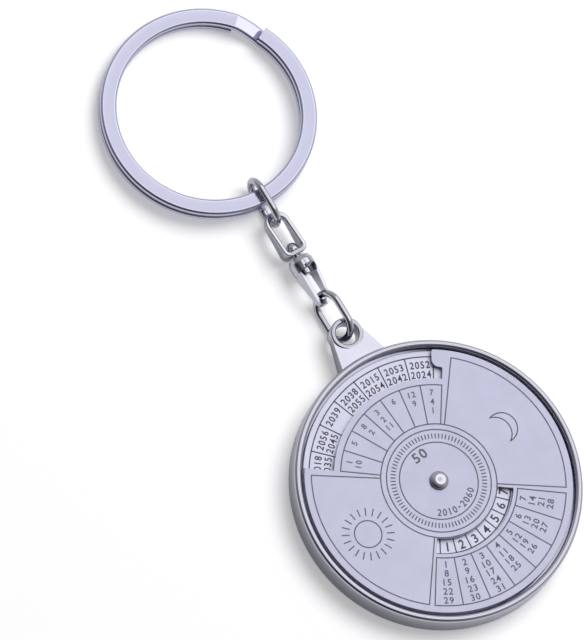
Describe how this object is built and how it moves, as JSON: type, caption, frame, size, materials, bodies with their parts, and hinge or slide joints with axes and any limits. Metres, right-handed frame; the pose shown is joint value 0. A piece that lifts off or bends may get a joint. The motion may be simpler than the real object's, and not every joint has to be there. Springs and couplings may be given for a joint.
{
  "type": "calendar keyring",
  "caption": "Flat round metal keyring with a turning calendar dial, hung by a lug, jump ring, riveted swivel and wire link from a flat split ring.",
  "frame": {"origin": "centre of the case's flat back, on the surface that the keyring lies on", "axes": "+Z out of the dial's face, +Y from the case along the chain to the split ring, +X to the right when the dial is read with the lug on top"},
  "size_m": [0.04, 0.0949, 0.0053],
  "materials": {
    "case_chrome": "polished plating on cast zinc",
    "plate_satin": "bright satin, printed",
    "dial_satin": "fine satin, printed and lacquered",
    "chain_chrome": "polished plating on steel",
    "ring_chrome": "polished plating on spring steel"
  },
  "bodies": {
    "case_body": {"case": "case_chrome", "calendar_plate": "plate_satin", "centre_rivet": "chain_chrome"},
    "dial_body": {"dial": "dial_satin"},
    "jump_ring_body": {"jump_ring": "chain_chrome"},
    "swivel_body": {"swivel_eye": "chain_chrome", "swivel_rivet": "chain_chrome"},
    "bow_body": {"swivel_bow": "chain_chrome"},
    "link_body": {"connecting_link": "chain_chrome"},
    "ring_body": {"split_ring": "ring_chrome"}
  },
  "joints": [
    {"name": "dial_turn", "type": "hinge", "parent": "case_body", "child": "dial_body", "pos_m": [0, 0, 0.0041], "axis": [0, 0, 1], "continuous": true},
    {"name": "jump_ring_swing", "type": "hinge", "parent": "case_body", "child": "jump_ring_body", "pos_m": [0, 0.02576, 0.00266], "axis": [0.9063, 0, -0.4226], "range_deg": [-80, 80]},
    {"name": "swivel_swing", "type": "hinge", "parent": "jump_ring_body", "child": "swivel_body", "pos_m": [0, 0.03036, 0.00266], "axis": [0.4226, 0, 0.9063], "range_deg": [-60, 60]},
    {"name": "swivel_spin", "type": "hinge", "parent": "swivel_body", "child": "bow_body", "pos_m": [0, 0.03667, 0.00266], "axis": [0, 1, 0], "continuous": true},
    {"name": "link_swing", "type": "hinge", "parent": "bow_body", "child": "link_body", "pos_m": [0, 0.04312, 0.00266], "axis": [1, 0, 0], "range_deg": [-70, 70]},
    {"name": "ring_turn", "type": "hinge", "parent": "link_body", "child": "ring_body", "pos_m": [0, 0.05985, 0.00194], "axis": [0, 0.052, 0.9986], "continuous": true}
  ]
}
